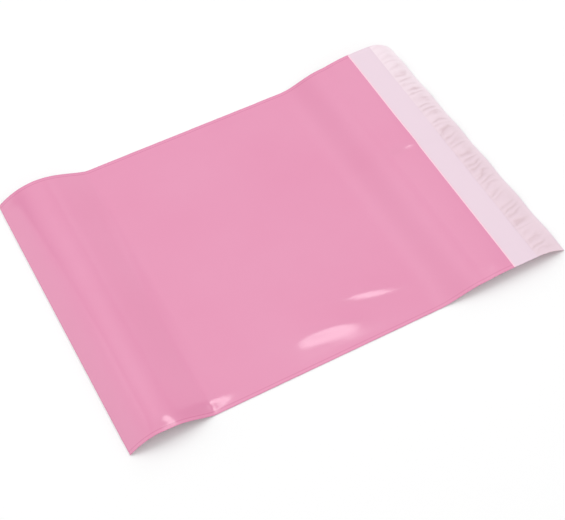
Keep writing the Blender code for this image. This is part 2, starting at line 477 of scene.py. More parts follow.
def make_lay_tree():
    tree, given = new_tree("lay_on_bag", {
        "NodeSocketObject": ("Near Edge", "Far Edge"),
        "NodeSocketFloat": (
            "Bag Width", "Fold Middle", "Waviness Height", "Waviness Length", "Seed",
        ),
        "NodeSocketMaterial": ("Finish",),
    })
    flat = add_node(tree, "GeometryNodeInputPosition")
    web, across, _ = add_node(tree, "ShaderNodeSeparateXYZ", (flat,)).node.outputs
    laid = place_on_lay(tree, given, web, across)
    up = rise_above_lay(tree, given, web, across)
    keep = add_node(
        tree, "GeometryNodeStoreNamedAttribute",
        {"Geometry": given["Geometry"], "Name": FLAT_MAP, "Value": flat},
        data_type="FLOAT2", domain="CORNER",
    )
    on_lay = add_node(
        tree, "GeometryNodeSetPosition", {"Geometry": keep, "Position": laid, "Offset": up},
    )
    normal = add_node(tree, "GeometryNodeInputNormal")
    stand_off = add_node(
        tree, "GeometryNodeInputNamedAttribute", {"Name": "stand_off"}, data_type="FLOAT",
    )
    outward = add_node(
        tree, "ShaderNodeVectorMath", {0: normal, "Scale": stand_off}, operation="SCALE",
    )
    clear = add_node(tree, "GeometryNodeSetPosition", {"Geometry": on_lay, "Offset": outward})
    end_tree(tree, clear, given["Finish"])
    return tree


lay_tree = make_lay_tree()
print("The tree that lays a sheet has", len(lay_tree.nodes), "nodes")

# %% [markdown]
# A modifier's inputs are set by the identifier of each socket, because two inputs may share a
# name. Then the evaluated mesh replaces the flat one, and the modifier has done its work.

# %% Using a tree


def with_nodes(piece, tree, values):
    modifier = piece.modifiers.new(tree.name, "NODES")
    modifier.node_group = tree
    identifiers = {
        item.name: item.identifier
        for item in tree.interface.items_tree
        if item.item_type == "SOCKET" and item.in_out == "INPUT"
    }
    for name, value in values.items():
        modifier[identifiers[name]] = value


def keep_result(piece):
    """Makes what the nodes made the piece's own plain mesh."""
    bpy.context.view_layer.update()
    evaluated = piece.evaluated_get(bpy.context.evaluated_depsgraph_get())
    made = bpy.data.meshes.new_from_object(evaluated)
    piece.modifiers.clear()
    piece.data = made
    piece.data.name = piece.name
    print(piece.name, "has", len(made.polygons), "faces")


WAVINESS_HEIGHT = 0.35 * MM
WAVINESS_LENGTH = 70 * MM
WAVINESS_SEED = 3.0


def lay(piece, finish):
    with_nodes(piece, lay_tree, {
        "Near Edge": near_guide,
        "Far Edge": far_guide,
        "Bag Width": BAG_WIDTH,
        "Fold Middle": FOLD_MIDDLE,
        "Waviness Height": WAVINESS_HEIGHT,
        "Waviness Length": WAVINESS_LENGTH,
        "Seed": WAVINESS_SEED,
        "Finish": finish,
    })
    keep_result(piece)


print("The film waves by", round(WAVINESS_HEIGHT / MM, 2), "mm")

# %% [markdown]
# ## The film's finish
#
# The film is polyethylene, coloured in the melt and blown into a bubble that cools in free air.
# No roll or mould touches it while it sets. That gives the eye a smooth, glossy, slightly hazy
# surface that mirrors a lamp with soft edges, in a pink that hardly varies. Inside it is a paler
# layer, blown with the pink one in a single bubble, and it shows where the flap turns it up.
#
# Colours are written as sRGB hex values, as any colour picker shows them, and one function turns
# them into the linear values that a shader needs. A second one lays colours over each other like
# coats of paint. The film has two tones close together, because the pigment is never quite evenly
# spread.

# %% Colours


def linear(hex_colour):
    """The linear colour of an sRGB hex value."""
    parts = [int(hex_colour[i:i + 2], 16) / 255 for i in (0, 2, 4)]
    return [p / 12.92 if p <= 0.04045 else ((p + 0.055) / 1.055) ** 2.4 for p in parts] + [1]


def paint(tree, base, *coats):
    """Each coat is the share by which it covers what is below it, and its colour."""
    colour = linear(base)
    for share, coat in coats:
        pair = {0: share, 6: colour, 7: linear(coat)}
        colour = add_node(tree, "ShaderNodeMix", pair, out=2, data_type="RGBA")
    return colour


PINK = "E18EB1"
PINK_DEEP = "DF86AB"
INNER_PALE = "E8D1DD"
INNER_DEEP = "E5CEDB"
print("The pink in linear values is", [round(part, 3) for part in linear(PINK)])

# %% [markdown]
# A finish starts from Blender's Principled shader, with the plastic's own refractive index typed
# into its socket. The index sets how much light the surface mirrors when seen from straight above.

# %% Start of a finish
POLYETHYLENE_IOR = 1.51


def new_finish(name, ior):
    made = bpy.data.materials.new(name)
    made.use_nodes = True
    shader = made.node_tree.nodes["Principled BSDF"]
    shader.inputs["IOR"].default_value = ior
    return made, made.node_tree, shader


def connect(tree, shader, **found):
    """Links what a finish has worked out to the shader."""
    sockets = {"colour": "Base Color", "gloss": "Roughness", "bump": "Normal"}
    for name, output in found.items():
        tree.links.new(output, shader.inputs[sockets[name]])


mirrored = ((POLYETHYLENE_IOR - 1) / (POLYETHYLENE_IOR + 1)) ** 2
print("Polyethylene mirrors", round(100 * mirrored, 1), "% of light from straight above")

# %% [markdown]
# ### Side welds
#
# A side weld is a strip where the hot knife melted both plies into one. It is duller than the film
# beside it, and a thin darker line shows where the melt stopped. It could be a strip of its own,
# but a weld adds nothing to the film's thickness. So the material finds it from the flat place of
# each point, and it stays with the film wherever that bends.

# %% Where the welds are
WELD_LINE_WIDTH = 0.6 * MM
WELD_FADE = (0.8 * WELD_WIDTH, 1.1 * WELD_WIDTH)


def from_nearest_side(tree, across, bag_width):
    other_side = add_node(tree, "ShaderNodeMath", (bag_width, across), operation="SUBTRACT")
    return add_node(tree, "ShaderNodeMath", (across, other_side), operation="MINIMUM")


def weld_marks(tree, web, across):
    """How far a point is into a side weld, and whether it is on the line beside it."""
    from_side = from_nearest_side(tree, across, BAG_WIDTH)
    in_weld = add_node(tree, "ShaderNodeMapRange", (from_side, *WELD_FADE, 1, 0))
    on_pouch = add_node(tree, "ShaderNodeMath", (web, FLAP_LENGTH), operation="GREATER_THAN")
    weld = add_node(tree, "ShaderNodeMath", (in_weld, on_pouch), operation="MULTIPLY")
    on_line = add_node(
        tree, "ShaderNodeMath", (from_side, WELD_WIDTH, WELD_LINE_WIDTH / 2), operation="COMPARE",
    )
    line = add_node(tree, "ShaderNodeMath", (on_line, on_pouch), operation="MULTIPLY")
    return weld, line


print("Each weld is", round(WELD_WIDTH / MM, 1), "mm wide")

# %% [markdown]
# ### Colour of the film
#
# The two tones drift into each other in clouds about as wide as a palm. The cut edge of the mouth
# is a thin pale line of painted highlight, standing in for the light that travels inside the film
# and leaves it there. The edge is far thinner than a pixel, so the line is drawn wide enough to show.

# %% Film colour
PIGMENT_CLOUD = 70 * MM
CUT_EDGE_WIDTH = 1.3 * MM


def film_colour(tree, web, cloud, line, light, deep, welded, cut_edge_highlight):
    # the last strip of the web at the mouth gets the painted highlight of the cut edge
    at_mouth = add_node(
        tree, "ShaderNodeMath", (web, WEB_LENGTH - CUT_EDGE_WIDTH), operation="GREATER_THAN",
    )
    return paint(tree, deep, (cloud, light), (line, welded), (at_mouth, cut_edge_highlight))


print("The pigment drifts over", round(PIGMENT_CLOUD / MM), "mm")

# %% [markdown]
# ### Die lines and haze
#
# The film leaves its die as a melt, and every nick in the die draws a faint line in it. The lines
# run with the machine, which in a side-welded bag is across the bag. Real ones are finer than a
# pixel, so they are drawn coarser here. They are only a bump, because they are no deeper than a
# thousandth of a millimetre. The haze varies with the pigment, and the melted weld is duller.

# %% Film surface
DIE_LINE_PITCH = 1.6 * MM
DIE_LINE_LENGTH = 80 * MM
DIE_LINE_DEPTH = 0.003 * MM
CLEAREST, HAZIEST = -0.02, 0.03
WELD_DULLNESS = 0.12


def film_surface(tree, flat, cloud, weld, roughness):
    """The normal and the roughness of the film."""
    stretch = (1 / DIE_LINE_PITCH, 1 / DIE_LINE_LENGTH, 1)
    lined = add_node(tree, "ShaderNodeMapping", {"Vector": flat, "Scale": stretch})
    lines = add_node(tree, "ShaderNodeTexNoise", {"Vector": lined, "Scale": 1, "Detail": 1})
    bump = add_node(
        tree, "ShaderNodeBump", {"Strength": 1.0, "Distance": DIE_LINE_DEPTH, "Height": lines},
    )
    haze_range = (roughness + CLEAREST, roughness + HAZIEST)
    haze = add_node(tree, "ShaderNodeMapRange", (cloud, 0, 1, *haze_range))
    dull = roughness + WELD_DULLNESS
    return bump, add_node(tree, "ShaderNodeMix", {0: weld, 2: haze, 3: dull})


print("A die line every", round(DIE_LINE_PITCH / MM, 1), "mm")

# %% [markdown]
# The two layers of the film are the same plastic with different pigment, so one function makes
# both. The inner layer is rougher: it carries a powder that keeps the plies from sticking.

# %% Film material


def film_material(name, light, deep, welded, cut_edge_highlight, roughness):
    made, tree, shader = new_finish(name, POLYETHYLENE_IOR)
    flat = add_node(tree, "ShaderNodeUVMap", uv_map=FLAT_MAP)
    web, across, _ = add_node(tree, "ShaderNodeSeparateXYZ", (flat,)).node.outputs
    size = {"Vector": flat, "Scale": 1 / PIGMENT_CLOUD, "Detail": 2}
    cloud = add_node(tree, "ShaderNodeTexNoise", size)
    weld, line = weld_marks(tree, web, across)
    colour = film_colour(tree, web, cloud, line, light, deep, welded, cut_edge_highlight)
    bump, gloss = film_surface(tree, flat, cloud, weld, roughness)
    connect(tree, shader, colour=colour, gloss=gloss, bump=bump)
    return made


# each finish's cut-edge colour is a painted highlight along the mouth's cut edge
pink_film = film_material(
    "pigmented_polyethylene_film", PINK, PINK_DEEP, welded="D4769D", cut_edge_highlight="F8D0DF",
    roughness=0.12,
)
inner_film = film_material(
    "pale_inner_polyethylene_film", INNER_PALE, INNER_DEEP, welded="DFC5D3", cut_edge_highlight="F3E4EC",
    roughness=0.28,
)
print("The film has two finishes,", pink_film.name, "and", inner_film.name)

# %% [markdown]
# ## The web of film
#
# The web is one sheet, folded once, so it is one piece here too. Two panels laid on each other
# would be easier to make, but the bottom of the bag would then show a seam that it hasn't got.
# The blank has more lines where the film turns sharply: at the fold and along the welds. Each ply
# stands off by half of the pocket's air, and both are raised by the same half, so that the back
# ply stays on the table.

# %% Cut and lay the web
FOLD_EASE = 1.2 * MM
EASE_STEP = FOLD_EASE / 3
WELD_STEP = WELD_WIDTH / 2
FRONT_START = BAG_LENGTH + FOLD_LENGTH

web_places = stations(
    0,
    (BAG_LENGTH - FOLD_EASE, FILM_STEP),
    (BAG_LENGTH, EASE_STEP),
    (FRONT_START, FOLD_LENGTH / FOLD_SIDES),
    (FRONT_START + FOLD_EASE, EASE_STEP),
    (WEB_LENGTH, FILM_STEP),
)
cross_places = stations(
    0, (WELD_WIDTH, WELD_STEP), (BAG_WIDTH - WELD_WIDTH, FILM_STEP), (BAG_WIDTH, WELD_STEP),
)


def half_opening(along, across):
    return pocket_opening(along, across) / 2


film_web = flat_blank("film_web", web_places, cross_places, half_opening, face_up=False)
half = film_web.data.attributes["stand_off"].data
raised = film_web.data.attributes["raised"].data
for above, off in zip(raised, half):
    above.value += off.value
lay(film_web, pink_film)
film_web.data.materials.append(inner_film)

# %% [markdown]
# The sheet still has no thickness. A Solidify modifier gives it the film's real gauge, inwards,
# so that the pink side stays where it was laid. The new side takes the second material, which is
# the pale inner layer. Then the frame is told what the piece is: it rides on the one body of the
# bag and stands for the film of the construction.

# %% Give the film its thickness
INWARDS = -1
OUTWARDS = 1


def thicken(piece, name, thickness, side):
    wall = piece.modifiers.new(name, "SOLIDIFY")
    wall.thickness = thickness
    wall.offset = side
    return wall


film_wall = thicken(film_web, "film", FILM_THICKNESS, INWARDS)
film_wall.material_offset = 1
film_wall.use_even_offset = False

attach(film_web, "root")
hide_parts("bag_body")
print("The film is", round(film_wall.thickness / MM, 3), "mm thick")

# %% [markdown]
# ## Hot-cut beads
#
# The knife that cuts the bags apart is hot enough to melt the film, so the two plies shrink back
# together into a thin, uneven bead along each side. The bead follows the film's own edge, dents
# and all, so the nodes take that edge from the laid film, turn it into a curve and sweep a small
# circle along it. A second copy of the lay formulas would be longer, and could drift from the film.
#
# Only an edge with a face on one side of it is a border, and only the front ply's two side borders
# are wanted, so the selection asks for all three: a border, at a side, past the fold.

# %% Side borders of the front ply
BORDER_FACES = 1.5  # a border edge has one face, and any other edge has two


def side_borders(tree, given):
    """Chooses the film's edges that the bead follows."""
    flat = add_node(
        tree, "GeometryNodeInputNamedAttribute", {"Name": FLAT_MAP}, data_type="FLOAT_VECTOR",
    )
    web, across, _ = add_node(tree, "ShaderNodeSeparateXYZ", (flat,)).node.outputs
    on_front = add_node(tree, "ShaderNodeMath", (web, given["Fold Middle"]), operation="GREATER_THAN")
    from_side = from_nearest_side(tree, across, given["Bag Width"])
    at_side = add_node(
        tree, "ShaderNodeMath", (from_side, given["Film Thickness"]), operation="LESS_THAN",
    )
    faces = add_node(tree, "GeometryNodeInputMeshEdgeNeighbors")
    at_border = add_node(tree, "ShaderNodeMath", (faces, BORDER_FACES), operation="LESS_THAN")
    at_edge = add_node(tree, "ShaderNodeMath", (at_side, at_border), operation="MULTIPLY")
    return add_node(tree, "ShaderNodeMath", (at_edge, on_front), operation="MULTIPLY")


print("A bead on each of the two sides")

# %% [markdown]
# Melted film draws together in drops, so the bead is thicker here and thinner there. A noise along
# it swells and shrinks its radius by a quarter. The bead is centred on the seam between the plies,
# one film thickness below the edge that it was taken from.

# %% Bead tree
BEAD_RADIUS = 0.15 * MM
BEAD_LUMP = 6 * MM
BEAD_SEED = 2.0
BEAD_SIDES = 8
LUMP_NOISE = (0.3, 0.7)
LUMP_SWELLING = (0.75, 1.25)


def lumpy_radius(tree, given):
    place = add_node(tree, "GeometryNodeInputPosition")
    spot = add_node(tree, "ShaderNodeVectorMath", (place, given["Lump Length"]), operation="DIVIDE")
    lumps = add_node(
        tree, "ShaderNodeTexNoise", {"Vector": spot, "W": given["Seed"], "Scale": 1, "Detail": 2},
        noise_dimensions="4D",
    )
    swelling = add_node(tree, "ShaderNodeMapRange", (lumps, *LUMP_NOISE, *LUMP_SWELLING))
    return add_node(tree, "ShaderNodeMath", (swelling, given["Bead Radius"]), operation="MULTIPLY")


def make_bead_tree():
    tree, given = new_tree("hot_cut_bead", {
        "NodeSocketObject": ("Film",),
        "NodeSocketFloat": (
            "Bag Width", "Fold Middle", "Film Thickness", "Bead Radius", "Lump Length", "Seed",
        ),
        "NodeSocketInt": ("Bead Sides",),
        "NodeSocketMaterial": ("Finish",),
    })
    film = add_node(tree, "GeometryNodeObjectInfo", {"Object": given["Film"]}, out="Geometry")
    chosen = side_borders(tree, given)
    edge = add_node(tree, "GeometryNodeMeshToCurve", {"Mesh": film, "Selection": chosen})
    radius = lumpy_radius(tree, given)
    drop = add_node(tree, "ShaderNodeMath", (given["Film Thickness"], -1), operation="MULTIPLY")
    down = add_node(tree, "ShaderNodeCombineXYZ", (0, 0, drop))
    seam = add_node(tree, "GeometryNodeSetPosition", {"Geometry": edge, "Offset": down})
    round_section = {"Resolution": given["Bead Sides"], "Radius": 1.0}
    section = add_node(tree, "GeometryNodeCurvePrimitiveCircle", round_section)
    bead = add_node(
        tree, "GeometryNodeCurveToMesh",
        {"Curve": seam, "Profile Curve": section, "Scale": radius, "Fill Caps": True},
    )
    end_tree(tree, bead, given["Finish"])
    return tree


bead_tree = make_bead_tree()
print("The bead tree has", len(bead_tree.nodes), "nodes")

# %% [markdown]
# The bead is the same polyethylene, melted again. Where it is thick the pigment looks deeper, and
# it froze without the bubble's smooth stretch, so its gloss is uneven. A fine noise gives both.

# %% Bead material
BEAD_DEEP = "CF6F98"
BEAD_SPECKLE = 2 * MM
BEAD_ROUGHNESS = (0.2, 0.4)


def bead_material():
    made, tree, shader = new_finish("remelted_polyethylene", POLYETHYLENE_IOR)
    place = add_node(tree, "ShaderNodeTexCoord", out="Object")
    size = {"Vector": place, "Scale": 1 / BEAD_SPECKLE, "Detail": 2}
    lumps = add_node(tree, "ShaderNodeTexNoise", size)
    colour = paint(tree, BEAD_DEEP, (lumps, PINK))
    gloss = add_node(tree, "ShaderNodeMapRange", (lumps, 0, 1, *BEAD_ROUGHNESS))
    connect(tree, shader, colour=colour, gloss=gloss)
    return made


bead_finish = bead_material()
print("The beads are", bead_finish.name)

# %% [markdown]
# The beads need the film as a thin sheet, because a solid one has no open borders. So the film's
# Solidify modifier is switched off while the nodes read it, and on again afterwards.

# %% Beads
beads = new_object("hot_cut_beads", bpy.data.meshes.new("hot_cut_beads"))
film_wall.show_viewport = False
with_nodes(beads, bead_tree, {
    "Film": film_web,
    "Bag Width": BAG_WIDTH,
    "Fold Middle": FOLD_MIDDLE,
    "Film Thickness": FILM_THICKNESS,
    "Bead Radius": BEAD_RADIUS,
    "Bead Sides": BEAD_SIDES,
    "Lump Length": BEAD_LUMP,
    "Seed": BEAD_SEED,
    "Finish": bead_finish,
})
keep_result(beads)
film_wall.show_viewport = True
beads.data.shade_smooth()
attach(beads, "root")

# %% [markdown]
# ## The closure strip
#
# A roller lays a stripe of hot-melt adhesive along the flap, and a silicone-coated liner is rolled
# onto it. The liner is a little wider than the stripe, so that a finger can get under its edge.
# From the film up, every layer rests on the one below it with a hair's gap, so that no two
# surfaces lie in one plane and flicker.

# %% Strip sizes
ADHESIVE_WIDTH = 22 * MM
ADHESIVE_THICKNESS = 0.12 * MM
LINER_THICKNESS = 0.05 * MM
LINER_OVERHANG = 4 * MM
FLAP_MARGIN = 1.5 * MM
CONTACT_GAP = 0.02 * MM
LINER_END = BAG_LENGTH - FLAP_MARGIN
ADHESIVE_END = LINER_END - LINER_OVERHANG
ADHESIVE_START = ADHESIVE_END - ADHESIVE_WIDTH
LINER_START = ADHESIVE_START - LINER_OVERHANG
ADHESIVE_BASE = FILM_THICKNESS + CONTACT_GAP
LINER_BASE = ADHESIVE_BASE + ADHESIVE_THICKNESS + CONTACT_GAP
print("The liner is", round((LINER_END - LINER_START) / MM, 1), "mm wide")

# %% [markdown]
# ### Creases of the liner
#
# The liner does not shrink with the film and the glue gives way under it, so it buckles into small
# slanted creases. They follow a rule, so nodes make them, while the liner is still flat. A row of
# folds runs slantwise across the strip. A noise bends each fold, and the distance from the nearest
# fold line makes its height. A power above one keeps the crest narrow and the valley wide, as in
# paper. Modelling each crease by hand would look no better and couldn't be changed at once.

# %% Shape of a crease
WANDER = 3.0
WANDER_SCALE = 0.6
HALF_FOLD = 0.5


def crease_shape(tree, given, spot):
    """From 0 in a valley to 1 on a crest."""
    row = add_node(tree, "ShaderNodeSeparateXYZ", (spot,), out="Y")
    wander = add_node(
        tree, "ShaderNodeTexNoise",
        {"Vector": spot, "W": given["Seed"], "Scale": WANDER_SCALE, "Detail": 2},
        noise_dimensions="4D",
    )
    shift = add_node(tree, "ShaderNodeMath", (wander, WANDER, row), operation="MULTIPLY_ADD")
    fold = add_node(tree, "ShaderNodeMath", (shift, HALF_FOLD), operation="PINGPONG")
    crest = add_node(tree, "ShaderNodeMapRange", (fold, 0, HALF_FOLD, 1, 0))
    return add_node(tree, "ShaderNodeMath", (crest, given["Sharpness"]), operation="POWER")


print("A crease falls from 1 at its crest to 0 in the valley")

# %% [markdown]
# The creases aren't equally strong everywhere. They come in bunches, they fade towards the flap's
# outer edge and the far side, where the liner was rolled on tightly, and its inner edge is held
# down on the film. Each of these is a factor, and the strength is their product.

# %% Strength of the creases
BUNCH_SCALE = 0.9
BUNCH_NOISE = (0.25, 0.55)
BUNCH_STRENGTH = (0.15, 1)
AT_CALM_EDGE = 0.1
AT_CALM_SIDE = 0.2
AT_FREE_EDGE = 0.25


def crease_strength(tree, given, web, across, spot):
    bunches = add_node(
        tree, "ShaderNodeTexNoise",
        {"Vector": spot, "W": given["Seed"], "Scale": BUNCH_SCALE, "Detail": 0},
        noise_dimensions="4D",
    )
    strength = add_node(tree, "ShaderNodeMapRange", (bunches, *BUNCH_NOISE, *BUNCH_STRENGTH))
    for place, start, end, at_start, at_end in (
        (web, "Calm Edge", "Creased Edge", AT_CALM_EDGE, 1),
        (across, "Calm Side", "Creased Side", AT_CALM_SIDE, 1),
        (web, "Held Down From", "Free Edge", 1, AT_FREE_EDGE),
    ):
        factor = add_node(
            tree, "ShaderNodeMapRange", (place, given[start], given[end], at_start, at_end),
            interpolation_type="SMOOTHSTEP",
        )
        strength = add_node(tree, "ShaderNodeMath", (strength, factor), operation="MULTIPLY")
    return strength


print("The creases fade towards three borders of the liner")

# %% [markdown]
# The tree adds the creases to the number that says how far each point stands off the film, so the
# laying tree carries them out. It also keeps them in an attribute of their own, which the liner's
# finish uses to paint shade, a little darker where the liner is folded.

# %% Crinkle tree
CREASE_SHADE_MARK = "crease"


def make_crinkle_tree():
    tree, given = new_tree("crinkle", {
        "NodeSocketFloat": (
            "Crease Height", "Crease Pitch", "Crease Length", "Sharpness", "Slant",
            "Calm Edge", "Creased Edge", "Calm Side", "Creased Side", "Held Down From",
            "Free Edge", "Seed",
        ),
        "NodeSocketMaterial": ("Finish",),
    })
    flat = add_node(tree, "GeometryNodeInputPosition")
    web, across, _ = add_node(tree, "ShaderNodeSeparateXYZ", (flat,)).node.outputs
    turned = add_node(
        tree, "ShaderNodeVectorRotate", {"Vector": flat, "Angle": given["Slant"]},
        rotation_type="Z_AXIS",
    )
    size = add_node(
        tree, "ShaderNodeCombineXYZ", (given["Crease Length"], given["Crease Pitch"], 1),
    )
    spot = add_node(tree, "ShaderNodeVectorMath", (turned, size), operation="DIVIDE")
    shape = crease_shape(tree, given, spot)
    strength = crease_strength(tree, given, web, across, spot)
    ridge = add_node(tree, "ShaderNodeMath", (shape, strength), operation="MULTIPLY")
    height = add_node(tree, "ShaderNodeMath", (ridge, given["Crease Height"]), operation="MULTIPLY")
    before = add_node(
        tree, "GeometryNodeInputNamedAttribute", {"Name": "stand_off"}, data_type="FLOAT",
    )
    total = add_node(tree, "ShaderNodeMath", (before, height), operation="ADD")
    # the crease attribute is kept for the painted shade on the liner's folds
    marked = add_node(
        tree, "GeometryNodeStoreNamedAttribute",
        {"Geometry": given["Geometry"], "Name": CREASE_SHADE_MARK, "Value": ridge},
        data_type="FLOAT", domain="POINT",
    )
    stored = add_node(
        tree, "GeometryNodeStoreNamedAttribute",
        {"Geometry": marked, "Name": "stand_off", "Value": total},
        data_type="FLOAT", domain="POINT",
    )
    end_tree(tree, stored, given["Finish"])
    return tree


crinkle_tree = make_crinkle_tree()
print("The crinkle tree has", len(crinkle_tree.nodes), "nodes")

# %% [markdown]
# ### The liner's finish
#
# The liner is a thin film with a coat of silicone, which lets the glue go. Silicone mirrors less
# than polyethylene, and its gloss is soft, like candle wax. The liner is slightly see-through: pale
# where it lies tight and greyer where air is caught below it. Letting light pass through it would
# show that, but much more slowly, so the colour carries it. On its creases the colour is darker,
# which is painted shade.

# %% Colour of the liner
LINER_SMOOTH = "F3E1E9"
LINER_PALE = "ECD4DE"
LINER_GREY = "E3CBD5"
# the darker crease colour is painted shade on the liner's folds
LINER_CREASE_SHADE = "D9BEC6"


def liner_colour(tree, flat, cloud):
    across = add_node(tree, "ShaderNodeSeparateXYZ", (flat,), out="Y")
    tight = add_node(tree, "ShaderNodeMapRange", (across, BAG_WIDTH / 2, BAG_WIDTH))
    # the crease attribute mixes in painted shade, darker on the liner's folds
    crease = add_node(tree, "ShaderNodeAttribute", out="Fac", attribute_name=CREASE_SHADE_MARK)
    return paint(
        tree, LINER_GREY, (cloud, LINER_PALE), (tight, LINER_SMOOTH), (crease, LINER_CREASE_SHADE),
    )


print("The liner's creases mark themselves as", CREASE_SHADE_MARK)

# %% [markdown]
# The coat has a fine grain where the roller let go of it. It is drawn about a millimetre and a
# half wide, which is coarser than the real one, so that it can just be felt in a close view.

# %% Liner material
LINER_IOR = 1.43
LINER_CLOUD = 30 * MM
LINER_GRAIN = 1.5 * MM
LINER_GRAIN_DEPTH = 0.0075 * MM
LINER_ROUGHNESS = (0.26, 0.36)


def liner_material():
    made, tree, shader = new_finish("silicone_coated_liner", LINER_IOR)
    flat = add_node(tree, "ShaderNodeUVMap", uv_map=FLAT_MAP)
    size = {"Vector": flat, "Scale": 1 / LINER_CLOUD, "Detail": 2}
    cloud = add_node(tree, "ShaderNodeTexNoise", size)
    colour = liner_colour(tree, flat, cloud)
    size = {"Vector": flat, "Scale": 1 / LINER_GRAIN, "Detail": 1}
    grain = add_node(tree, "ShaderNodeTexNoise", size)
    bump = add_node(
        tree, "ShaderNodeBump", {"Strength": 1.0, "Distance": LINER_GRAIN_DEPTH, "Height": grain},
    )
    gloss = add_node(tree, "ShaderNodeMapRange", (cloud, 0, 1, *LINER_ROUGHNESS))
    connect(tree, shader, colour=colour, gloss=gloss, bump=bump)
    return made


liner_finish = liner_material()
print("The liner is", liner_finish.name)

# %% [markdown]
# ### The adhesive's finish
#
# Hot-melt adhesive is a soft rubber and resin mix. It is laid on hot through a slotted lip, which
# leaves shallow ribs along the stripe, and it stays clear, tacky and glossy, the colour of pale
# honey. A Wave texture makes bands of an even pitch. Its own scale counts 20 bands in tau units,
# so the pitch in millimetres is turned into that.

# %% Adhesive material
GLUE_PALE = "F2EADF"
GLUE_DEEP = "E9DCC8"
GLUE_RIB_PITCH = 2 * MM
GLUE_RIB_HEIGHT = 0.05 * MM
GLUE_RIB_STRENGTH = 0.5
GLUE_RIB_WANDER = 0.6
GLUE_ROUGHNESS = (0.3, 0.2)
GLUE_IOR = 1.48
BANDS_PER_METRE_TO_SCALE = math.tau / 20


def glue_material():
    made, tree, shader = new_finish("hot_melt_adhesive", GLUE_IOR)
    flat = add_node(tree, "ShaderNodeUVMap", uv_map=FLAT_MAP)
    scale = BANDS_PER_METRE_TO_SCALE / GLUE_RIB_PITCH
    ribs = add_node(
        tree, "ShaderNodeTexWave",
        {"Vector": flat, "Scale": scale, "Distortion": GLUE_RIB_WANDER, "Detail": 1},
        out="Fac", bands_direction="X",
    )
    colour = paint(tree, GLUE_DEEP, (ribs, GLUE_PALE))
    bump = add_node(
        tree, "ShaderNodeBump",
        {"Strength": GLUE_RIB_STRENGTH, "Distance": GLUE_RIB_HEIGHT, "Height": ribs},
    )
    gloss = add_node(tree, "ShaderNodeMapRange", (ribs, 0, 1, *GLUE_ROUGHNESS))
    connect(tree, shader, colour=colour, gloss=gloss, bump=bump)
    return made


glue_finish = glue_material()
print("The adhesive is", glue_finish.name)

# %% [markdown]
# ### The liner
#
# The liner is cut flat and creased flat, and the laying tree then puts it on the bag, so it bends
# exactly as the flap below it does. Its grid is much finer than the film's, because its creases
# are. Over the adhesive it stands on the stripe, and beside it its edges come down to the film.

# %% Shape of the liner
LINER_STEP = 0.8 * MM


def strip_places(start, end, step):
    """Places on the web for a strip of the flap, from its outer edge inwards."""
    return stations(BAG_LENGTH - end, (BAG_LENGTH - start, step))


def liner_stand_off(along, across):
    """The liner lies on the adhesive, and its free edges come down to the film."""
    from_glue = max(ADHESIVE_START - along, along - ADHESIVE_END)
    step_down = smooth_step(from_glue / LINER_OVERHANG)
    return LINER_BASE - (ADHESIVE_THICKNESS + CONTACT_GAP) * step_down


release_liner = flat_blank(
    "crinkled_liner", strip_places(LINER_START, LINER_END, LINER_STEP),
    stations(0, (BAG_WIDTH, LINER_STEP)), liner_stand_off, face_up=True,
)

# %% [markdown]
# The creases lean by 17 degrees, stand about 7 mm apart and are a little over half a millimetre
# high. The distances below are measured from the flap's outer edge, where the web begins.

# %% Creases of the liner
CREASE_HEIGHT = 0.6 * MM
CREASE_PITCH = 7 * MM
CREASE_LENGTH = 22 * MM
CREASE_SHARPNESS = 1.9
CREASE_SLANT = math.radians(17)
CREASE_SEED = 5.0
CALM_BORDER = 4 * MM
CALM_LENGTH = 75 * MM

inner_edge = BAG_LENGTH - LINER_START
outer_edge = BAG_LENGTH - LINER_END
with_nodes(release_liner, crinkle_tree, {
    "Crease Height": CREASE_HEIGHT,
    "Crease Pitch": CREASE_PITCH,
    "Crease Length": CREASE_LENGTH,
    "Sharpness": CREASE_SHARPNESS,
    "Slant": CREASE_SLANT,
    "Calm Edge": outer_edge + CALM_BORDER,
    "Creased Edge": inner_edge - 3 * CALM_BORDER,
    "Calm Side": BAG_WIDTH,
    "Creased Side": BAG_WIDTH - CALM_LENGTH,
    "Held Down From": inner_edge - CALM_BORDER,
    "Free Edge": inner_edge,
    "Seed": CREASE_SEED,
    "Finish": liner_finish,
})
lay(release_liner, liner_finish)

# %% [markdown]
# The laid liner gets its thickness outwards, away from the glue. Like the film, it rides on the
# one body of the bag and stands for the liner of the construction.

# %% Liner
thicken(release_liner, "liner", LINER_THICKNESS, OUTWARDS)
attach(release_liner, "root")
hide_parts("release_liner")
print("The liner is", round(LINER_THICKNESS / MM, 2), "mm thick")

# %% [markdown]
# ### The adhesive
#
# The stripe is as wide as the liner less an overhang on each side. It is a coat on the film and
# not a sheet that was cut, but the same blank and the same tree lay it. The liner hides it, apart
# from its ends, and it is made all the same: whoever peels the liner off will want it there.

# %% Adhesive
ADHESIVE_STEP = 1 * MM


def adhesive_stand_off(along, across):
    return ADHESIVE_BASE


adhesive = flat_blank(
    "adhesive_stripe", strip_places(ADHESIVE_START, ADHESIVE_END, ADHESIVE_STEP),
    stations(0, (BAG_WIDTH, 2 * ADHESIVE_STEP)), adhesive_stand_off, face_up=True,
)
lay(adhesive, glue_finish)
thicken(adhesive, "glue", ADHESIVE_THICKNESS, OUTWARDS)
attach(adhesive, "root")
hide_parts("adhesive_strip")

# %% [markdown]
# Every sheet is laid, so the guides have done their work.

# %% Put the guides away
for guide in (near_guide, far_guide):
    bpy.data.objects.remove(guide)

# %% [markdown]
# ## Floor, light and camera
#
# The bag lies on white paper, as for a catalogue picture. Making the paper white with more light
# would bleach the bag as well. So the paper is an ordinary matt white that keeps the bag's shadow,
# and it glows a little, but only for rays that look at it: straight, in a reflection or through
# something. The light that it throws back on the bag stays that of paper. Further out than the
# shadow reaches it fades to plain white, so that a low view has no horizon.

